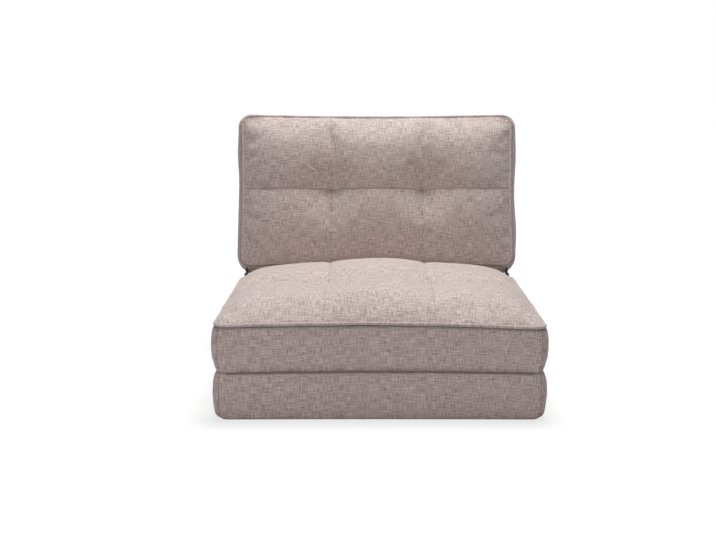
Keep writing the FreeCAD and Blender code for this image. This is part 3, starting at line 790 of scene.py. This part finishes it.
def stuffed_face(pad, xs, ys):
    """The movements of a crowned face under its stuffing, for every crossing of the sewing lines."""
    half_x, half_y = pad.half_x, pad.half_y
    coarse_x = np.linspace(-half_x, half_x, int(half_x * 2 / sheet_step))
    coarse_y = np.linspace(-half_y, half_y, int(half_y * 2 / sheet_step))
    x, y = np.meshgrid(coarse_x, coarse_y)
    points = np.stack([x, y, crown_height(x, y, pad)], axis=2)
    travel = smoothed(stuff_sheet(points, sewn_hold(x, y, pad)))
    columns, rows = np.meshgrid(np.interp(xs, coarse_x, np.arange(len(coarse_x))),
                                np.interp(ys, coarse_y, np.arange(len(coarse_y))))
    print(pad.body, "face moved up to", round(float(np.abs(travel).max()) / mm, 1), "mm")
    return sample(travel, rows, columns)


print("sheet points every", sheet_step / mm, "mm")

# %% [markdown]
# ## The upper face of a cushion
# The crowned face adds up the dome, the stuffing, hand filling, small gathers beside the piping
# and the stitch lines themselves. The tufts pull the cross seam into a slight wave. The foot
# pad's upper face is hidden under the seat, so it is left plain.

# %% Upper face
stitch_width = 1.2 * mm
long_stitch = 0.45
cross_stitch = 0.62
tuft_pull = 3.5 * mm


def pulled_seam(x, y, flat_x, flat_y, pad):
    """Lets the tufts pull the cross seam towards the near end."""
    pull = tuft_pull * np.exp(-((np.abs(flat_x) - pad.seam_x) / 0.040) ** 2) - 0.8 * mm
    wander = soft_waves(x, 0 * x, 0 * x, pad.seed + 3, 0.11, 1.0 * mm)
    return y - (pull + wander) * np.exp(-(flat_y / 0.05) ** 2)


def crowned_face(pad, xs, ys, flat_x, flat_y, x, y):
    """Points of a sewn face and how much painted shade its seams and tufts get."""
    y = pulled_seam(x, y, flat_x, flat_y, pad)
    z = pad.height + rim_level + crown_height(flat_x, flat_y, pad) + rim_wave(x, y, pad)
    face = np.stack([x, y, z], axis=2) + stuffed_face(pad, xs, ys)
    from_rim = np.minimum(pad.half_x - np.abs(flat_x), pad.half_y - np.abs(flat_y))
    filling = soft_waves(x, y, 0 * x, pad.seed, 0.15, 1.5 * mm)
    face[..., 2] += filling * (1 - np.exp(-(from_rim / 0.012) ** 2))
    gathers = soft_waves(x, y, 0 * x, pad.seed + 7, 0.030, 0.35 * mm)
    face[..., 2] += gathers * np.exp(-((from_rim - 0.010) / 0.012) ** 2)
    from_seam = np.abs(flat_x) - pad.seam_x
    seam = np.maximum(long_stitch * np.exp(-(from_seam / stitch_width) ** 2),
                      cross_stitch * np.exp(-(flat_y / stitch_width) ** 2))
    face[..., 2] -= 1.8 * mm * seam
    # Painted shade: the seam valleys and the tuft pits are darkened in colour as well as sunk.
    painted_tuft_shade = 0.25 * np.exp(-(np.hypot(from_seam, flat_y) / 0.006) ** 2)
    return face, 0.48 * seam + painted_tuft_shade


def upper_face(pad):
    """A pad's upper face, the painted shade of its seams and tufts, and where the border's corner seams
    start.
    """
    xs, ys = sewing_grid(pad)
    flat_x, flat_y = np.meshgrid(xs, ys)
    x, y = round_plan(flat_x, flat_y, pad.half_x, pad.half_y, corner_radius - rim_inset)
    x, y = draw_in(x, y, pad)
    if pad.crown > 0:
        face, shade = crowned_face(pad, xs, ys, flat_x, flat_y, x, y)
    else:
        face = np.stack([x, y, pad.height + fold_wave(x, y, pad)], axis=2)
        shade = np.zeros_like(x)
    at_end = np.abs(flat_y) > pad.half_y - 1 * mm
    corner_line = np.exp(-((np.abs(flat_x) - pad.corner_x) / 0.0011) ** 2) * at_end
    return face, shade, corner_line


print("stitch lines are", stitch_width / mm, "mm wide")

# %% [markdown]
# ## Following the outline
# The border is built as rings, one under the other, that all follow the outline of the face.
# Each point moves straight out from that outline, so it needs the outline's direction there.

# %% Outline helpers
def outline(grid):
    """The edge values of a grid, anticlockwise."""
    return np.concatenate([grid[0, :-1], grid[:-1, -1], grid[-1, :0:-1], grid[:0:-1, 0]])


def ring_normals(ring):
    ahead = np.roll(ring, -1, axis=0) - np.roll(ring, 1, axis=0)
    normals = np.stack([ahead[:, 1], -ahead[:, 0]], axis=1)
    return normals / np.linalg.norm(normals, axis=1, keepdims=True)


def eased(shares, places, values):
    """Values read between a few given ones, with the corners of the line rounded off."""
    fine = np.linspace(0, 1, 401)
    line = np.interp(fine, places, values)
    reach = 24
    kernel = np.exp(-(np.arange(-reach, reach + 1) / 7.0) ** 2)
    ends = np.concatenate([np.full(reach, line[0]), line, np.full(reach, line[-1])])
    return np.interp(shares, fine, np.convolve(ends, kernel / kernel.sum(), "valid"))


print("outline of a 3 by 3 grid:", outline(np.arange(9).reshape(3, 3)))

# %% [markdown]
# ## The border's fullness
# Seen from the front, the borders of the seat and foot pad swell out like a barrel, pinch where
# the two pads meet, and tuck in under the piping. The foot pad turns in at the floor. A few
# values from base to top say this, and easing joins them into a curve.

# %% Border fullness
def border_growth(shares, normals, pad):
    """How far each border ring stands out: tucked under the piping, full, pinched at its base."""
    facing = np.abs(normals[:, 0])
    ease = facing + (1 - facing) * np.where(normals[:, 1] < 0, pad.front, pad.rear)
    if pad.crown > 0:
        places = (0.0, 0.10, 0.30, 0.52, 0.72, 0.88, 0.955, 1.0)
        pinch = eased(shares, places, (-1.0, -0.40, 0, 0, 0, 0, 0, 0))
        bulge = eased(shares, places, (0, *pad.low_swell, 1.0, 0.86, 0.42, 0.12, 0))
        tuck = eased(shares, places, (0, 0, 0, 0, 0, 0, -0.4 * mm, -4.6 * mm))[:, None]
    else:
        places = (0.0, 0.013, 0.028, 0.047, 0.075, 0.13, 0.30, 0.52, 0.80, 0.93, 1.0)
        pinch = eased(shares, places, (0, 0, 0, 0, 0, 0, 0, 0, 0, -0.35, -1.0))
        bulge = eased(shares, places, (0, 0, 0, 0, 0, 0.05, 0.6, 1.0, 0.55, 0.15, 0))
        turned_in = np.array((-16.0, -8.4, -5.6, -3.6, -1.6, -0.3, 0, 0, 0, 0, 0)) * mm
        tuck = eased(shares, places, turned_in)[:, None] * (0.3 + 0.7 * facing)
    return (pinch[:, None] * pad.pinch + bulge[:, None] * pad.bulge) * ease + tuck


def painted_border_shade(shares, pad, corner_line):
    """How much painted shade each ring gets: under the piping or the fold, at the base seam and in the
    corner seams.
    """
    # Painted shade: a dark band where the border meets the piping or the fold, a little at the base
    # seam, and more in the corner seams.
    painted_shade_under_top = 0.80 if pad.crown > 0 else 0.10
    shadow = 0.065 if pad.body == "back" else 0.036
    shade = painted_shade_under_top * np.exp(-((1 - shares) / shadow) ** 2) + 0.30 * np.exp(-(shares / 0.012) ** 2)
    return shade[:, None] + 0.60 * corner_line


print("the back's sides stand out", back.bulge / mm, "mm")

# %% [markdown]
# ## The border's rings
# Thirty rings run from the top of the border to its base. Two hidden rings above them carry the
# cloth down under the piping, and two below turn it in to the base. The border puckers a little
# beside the piping, and slow waves loosen it in between.

# %% Border rings
ring_count = 30
border_low = 1.0 * mm


def border_rings(pad, face, corner_line):
    """Points and painted shade of the rings from the face down to the base, and the base's growth."""
    crowned = pad.crown > 0
    plan = outline(face)[:, :2]
    normals = ring_normals(plan)
    facing = np.abs(normals[:, 0])
    shares = 0.5 + 0.5 * np.cos(np.linspace(0, math.pi, ring_count))
    column = shares[:, None]
    side_ends = np.sin(math.pi * np.clip(2 * plan[:, 1] / pad.depth, -1, 1)) ** 2 * facing
    growths = rim_inset + border_growth(shares, normals, pad)
    growths += pad.lobe * side_ends * np.sin(math.pi * column) ** 2
    pucker = soft_waves(plan[:, 0], plan[:, 1], 0 * facing, pad.seed + 30, 0.040, 0.9 * mm)
    growths += pucker * np.exp(-((1 - column) / 0.16) ** 2) - 1.6 * mm * corner_line
    top = pad.height - (4.2 * mm if crowned else 0.3 * mm)
    lift_top = (rim_wave if crowned else fold_wave)(plan[:, 0], plan[:, 1], pad)
    lift_low = fold_wave(plan[:, 0], plan[:, 1], pad) if pad.body == "seat" else 0 * facing
    levels = border_low + column * (top - border_low) + column * lift_top + (1 - column) * lift_low
    shades = painted_border_shade(shares, pad, corner_line)
    if crowned:
        out = np.array([0.5, 0.8])[:, None] * mm + 0 * facing
        down = np.array([0.5, 3.4])[:, None] * mm
        growths = np.concatenate([out, growths])
        levels = np.concatenate([pad.height - down + lift_top, levels])
        # Painted shade: the hidden rings under the piping are fully darkened.
        shades = np.concatenate([np.ones_like(out), shades])
    base_growth = growths[-1]
    growths = np.concatenate([growths, [base_growth - 0.8 * mm, base_growth - 6.0 * mm]])
    levels = np.concatenate([levels, [lift_low + 0.25 * mm, lift_low]])
    # Painted shade: the two rings that turn in to the base are darkened a little.
    shades = np.concatenate([shades, np.full((2, len(plan)), 0.25)])
    rings = np.zeros((len(growths), len(plan), 3))
    rings[..., :2] = plan + normals * growths[..., None]
    rings[..., 2] = levels
    halfway = np.sin(np.clip((levels - border_low) / (top - border_low), 0, 1) * math.pi)
    waves = soft_waves(rings[..., 0], rings[..., 1], levels * 0.6, pad.seed + 20, 0.15, 1.5 * mm)
    rings[..., :2] += normals * (waves * halfway)[..., None]
    return rings, shades, base_growth[np.argmax(facing)], base_growth[np.argmin(facing)]


print("each border has", ring_count, "rings")

# %% [markdown]
# ## The base of a cushion
# The base reuses the grid of the upper face, scaled to fit inside the border's last ring. The
# seat's follows the fold line's wave, the back's is slightly domed, since nothing presses on it,
# and the foot pad's is flat, because it lies on the floor.

# %% Base face
base_inset = 8.0 * mm
base_rise = 35 * mm


def base_face(pad, face, side_growth, end_growth):
    """Points of the base, in the order of the upper face."""
    base = face.copy()
    inward_x = float(side_growth) - base_inset
    inward_y = float(end_growth) - base_inset
    base[..., 0] *= (pad.half_x + inward_x) / pad.half_x
    base[..., 1] *= (pad.half_y + inward_y) / pad.half_y
    lift = fold_wave(base[..., 0], base[..., 1], pad) if pad.body == "seat" else 0
    from_side = np.maximum(pad.half_x + inward_x - np.abs(base[..., 0]), 0)
    from_end = np.maximum(pad.half_y + inward_y - np.abs(base[..., 1]), 0)
    swell = (1 - np.exp(-from_side / base_rise)) * (1 - np.exp(-from_end / base_rise))
    base[..., 2] = lift - pad.base_crown * swell
    return base


print("rear face domed by", back.base_crown / mm, "mm")

# %% [markdown]
# ## One closed mesh
# A cushion must be closed, so that it has an inside and casts a true shadow. Face, rings and
# base share their outline's count of points, so strips of squares join them without a gap.

# %% Mesh of a cushion
def ring_strip(above, below):
    count = len(above)
    return [(above[i], below[i], below[(i + 1) % count], above[(i + 1) % count]) for i in range(count)]


def closed_mesh(name, face, shade, rings, ring_shades, base):
    """One mesh from the upper face, the rings and the base, with seam_shade, the painted shade of seams,
    at every point.
    """
    rows, columns = face.shape[:2]
    index = np.arange(rows * columns).reshape(rows, columns)
    faces = sheet_faces(rows, columns)
    above = outline(index).tolist()
    start = rows * columns
    for _ in rings:
        ring = list(range(start, start + len(above)))
        faces += ring_strip(above, ring)
        above = ring
        start += len(ring)
    faces += ring_strip(above, outline(start + index).tolist())
    faces += [tuple(start + v for v in reversed(square)) for square in sheet_faces(rows, columns)]
    points = np.concatenate([face.reshape(-1, 3), rings.reshape(-1, 3), base.reshape(-1, 3)])
    shades = np.concatenate([shade.ravel(), ring_shades.ravel(), np.zeros(rows * columns)])
    mesh = smooth_mesh(name, points, faces)
    attribute = mesh.attributes.new("seam_shade", "FLOAT", "POINT")
    attribute.data.foreach_set("value", shades.astype(np.float32))
    return mesh


def cushion(name, pad, place, replaced):
    """A sewn and stuffed pad in place of its CAD nodes."""
    face, shade, corner_line = upper_face(pad)
    rings, ring_shades, side_growth, end_growth = border_rings(pad, face, outline(corner_line))
    base = base_face(pad, face, side_growth, end_growth)
    mesh = closed_mesh(name, face, shade, rings, ring_shades, base)
    piece = dress(name, mesh, cover_cloth, place, pad.body, replaced)
    print(name, len(mesh.vertices), "points")


print("closed mesh ready")

# %% [markdown]
# ## The three pads
# The seat and the back are crowned and tufted. The foot pad is folded under the seat with its
# sleeping face down, so it is flat above and below and only its border shows.

# %% Make the pads
cushion("seat_cushion", seat, seat_place,
        ("seat_top_panel", "seat_border", "seat_base_panel", "seat_wadding", "seat_foam_upper",
         "seat_foam_lower"))
cushion("back_cushion", back, back_place,
        ("back_front_panel", "back_border", "back_rear_panel", "back_wadding", "back_foam_upper",
         "back_foam_lower"))
cushion("foot_cushion", foot, foot_place,
        ("foot_floor_panel", "foot_border", "foot_upper_panel", "foot_wadding", "foot_foam"))

# %% [markdown]
# ## Piping
# A cord covered with bias-cut cloth is sewn round each crowned face. A curve with a round bevel
# would do, but the cord has to follow the rim's wave and the drawn-in sides exactly. So it is a
# tube of rings, and it wanders a little up and down where the seam puckers.

# %% Piping cords
piping_radius = 3.8 * mm
piping_inset = 4 * mm
piping_step = 4 * mm
piping_sides = 12


def piping(name, pad, place, replaced):
    half_x, half_y = pad.width / 2 - piping_inset, pad.depth / 2 - piping_inset
    xs = np.linspace(-half_x, half_x, int(half_x * 2 / piping_step))
    ys = np.linspace(-half_y, half_y, int(half_y * 2 / piping_step))
    x, y = round_plan(*np.meshgrid(xs, ys), half_x, half_y, corner_radius - piping_inset)
    x, y = draw_in(x, y, pad)
    ring = outline(np.stack([x, y], axis=2))
    normals = ring_normals(ring)
    wander = soft_waves(ring[:, 0], ring[:, 1], 0 * ring[:, 0], pad.seed + 40, 0.075, 0.8 * mm)
    middle = pad.height + wander + rim_wave(ring[:, 0], ring[:, 1], pad)
    count = len(ring)
    points = []
    faces = []
    for side in range(piping_sides):
        angle = 2 * math.pi * side / piping_sides
        out = piping_radius * math.cos(angle) + 0.4 * wander[:, None]
        points.append(np.column_stack([ring + normals * out, middle + piping_radius * math.sin(angle)]))
        here = list(range(side * count, (side + 1) * count))
        after = (side + 1) % piping_sides * count
        beside = list(range(after, after + count))
        faces += [tuple(reversed(square)) for square in ring_strip(beside, here)]
    mesh = smooth_mesh(name, np.concatenate(points), faces)
    dress(name, mesh, piping_cloth, place, pad.body, (replaced,))
    line = np.column_stack([ring, middle])
    length = np.linalg.norm(line - np.roll(line, 1, axis=0), axis=1).sum()
    print(name, round(float(length), 3), "m round")


piping("seat_piping_cord", seat, seat_place, "seat_piping")
piping("back_piping_cord", back, back_place, "back_piping")

# %% [markdown]
# ## Fold hinge
# Two leaves of cloth join the seat and the foot pad along the front. Each is sewn to its own
# pad, and they meet on the line that the foot pad turns about. A leaf is a flat sheet that
# follows the fold's wave, made thick by a modifier.

# %% Fold leaves
leaf_thickness = 0.5 * mm
leaf_columns = 137
leaf_rows = 8


def fold_leaf(name, body, level):
    low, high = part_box(body + "_fold_band")
    x, y = np.meshgrid(np.linspace(low.x, high.x, leaf_columns), np.linspace(low.y, high.y, leaf_rows))
    points = np.stack([x, y, level + fold_wave(x, y, seat)], axis=2).reshape(-1, 3)
    mesh = bpy.data.meshes.new(name)
    mesh.from_pydata(points.tolist(), [], sheet_faces(leaf_rows, leaf_columns))
    piece = dress(name, mesh, band_cloth, Matrix.Identity(4), body, (body + "_fold_band",))
    solid = piece.modifiers.new("thickness", "SOLIDIFY")
    solid.thickness = leaf_thickness
    solid.offset = 0.0
    print(name, round(high.x - low.x, 3), "by", round(high.y - low.y, 3))


fold_leaf("seat_fold_leaf", "seat", 106.4 * mm)
fold_leaf("foot_fold_leaf", "foot", 105.6 * mm)

# %% [markdown]
# ## The floor
# The photograph was taken in a white studio. The floor is mid grey for light that bounces off
# it, so it does not light the bed from below too much. To the camera, and in anything shiny, it
# glows up to white a little way off, so only the bed's soft shadow is left near it.

# %% Floor
bounce_grey = (0.50, 0.50, 0.50, 1)
shadow_grey = (0.30, 0.30, 0.30, 1)


def seen_rays(tree):
    """1 for rays that show the studio to the camera, straight or by way of a shiny surface."""
    rays = node(tree, "ShaderNodeLightPath").outputs
    mirrored = maths(tree, "MAXIMUM", rays["Is Glossy Ray"], rays["Is Transmission Ray"])
    return maths(tree, "MAXIMUM", rays["Is Camera Ray"], mirrored)


def pick_by_ray(tree, other, seen, output):
    """One shader for rays that show the studio, and another for all the rest."""
    pick = node(tree, "ShaderNodeMixShader")
    for place, value in enumerate((seen_rays(tree), other, seen)):
        tree.links.new(value, pick.inputs[place])
    tree.links.new(pick.outputs[0], output.inputs["Surface"])


floor_mesh = bpy.data.meshes.new("studio_floor")
floor_mesh.from_pydata([(-8, -6, 0), (8, -6, 0), (8, 14, 0), (-8, 14, 0)], [], [(0, 1, 2, 3)])
floor = bpy.data.objects.new("studio_floor", floor_mesh)
scene.collection.objects.link(floor)
floor_paint = bpy.data.materials.new("floor_paint")
floor_paint.use_nodes = True
tree = floor_paint.node_tree
tree.nodes.clear()
bounce = node(tree, "ShaderNodeBsdfDiffuse")
set_inputs(bounce, {"Color": bounce_grey})
shadow = node(tree, "ShaderNodeBsdfDiffuse")
set_inputs(shadow, {"Color": shadow_grey})
distance = node(tree, "ShaderNodeVectorMath", operation="LENGTH")
tree.links.new(node(tree, "ShaderNodeTexCoord").outputs["Object"], distance.inputs[0])
fade = node(tree, "ShaderNodeMapRange")
set_inputs(fade, {"From Min": 0.55, "From Max": 1.10, "To Min": 0.72, "To Max": 1.0})
tree.links.new(distance.outputs["Value"], fade.inputs["Value"])
glow = node(tree, "ShaderNodeEmission")
tree.links.new(fade.outputs["Result"], glow.inputs["Strength"])
both = node(tree, "ShaderNodeAddShader")
tree.links.new(shadow.outputs[0], both.inputs[0])
tree.links.new(glow.outputs[0], both.inputs[1])
pick_by_ray(tree, bounce.outputs[0], both.outputs[0], node(tree, "ShaderNodeOutputMaterial"))
floor_mesh.materials.append(floor_paint)
print("floor glows white from", fade.inputs["From Max"].default_value, "m on")

# %% [markdown]
# ## The studio around it
# The world is white where the camera sees it, and gives the bed only a weak, even light. That
# base light fills the deepest shadows as the studio's white walls do.

# %% World
world = bpy.data.worlds.new("studio")
scene.world = world
world.use_nodes = True
tree = world.node_tree
tree.nodes.clear()
ambient = node(tree, "ShaderNodeBackground")
set_inputs(ambient, {"Color": (1, 1, 1, 1), "Strength": 0.14})
white = node(tree, "ShaderNodeBackground")
set_inputs(white, {"Color": (1, 1, 1, 1), "Strength": 1.0})
pick_by_ray(tree, ambient.outputs[0], white.outputs[0], node(tree, "ShaderNodeOutputWorld"))
print("ambient light", round(ambient.inputs["Strength"].default_value, 2))

# %% [markdown]
# ## The lamps
# A large soft lamp hangs over the bed and a little behind it, so the seat is bright, the back's
# face is softer and its low part falls into shade. A weaker lamp fills the borders from the
# front left. Large lamps are used because small ones would draw hard shadow edges.

# %% Lamps
def soft_lamp(name, place, aim, size, power, colour):
    data = bpy.data.lights.new(name, "AREA")
    data.shape = "RECTANGLE"
    data.size, data.size_y = size
    data.energy = power
    data.color = colour
    lamp = bpy.data.objects.new(name, data)
    lamp.location = place
    lamp.rotation_euler = (Vector(aim) - Vector(place)).to_track_quat("-Z", "Y").to_euler()
    scene.collection.objects.link(lamp)


soft_lamp("overhead_lamp", (0.15, 0.5, 3.35), (0, 0.05, 0.2), (1.6, 1.2), 112, (0.98, 1.0, 0.99))
soft_lamp("front_lamp", (-0.8, -3.2, 1.0), (0, 0, 0.22), (2.0, 1.4), 29, (1.0, 0.93, 0.95))
scene.view_settings.view_transform = "Standard"
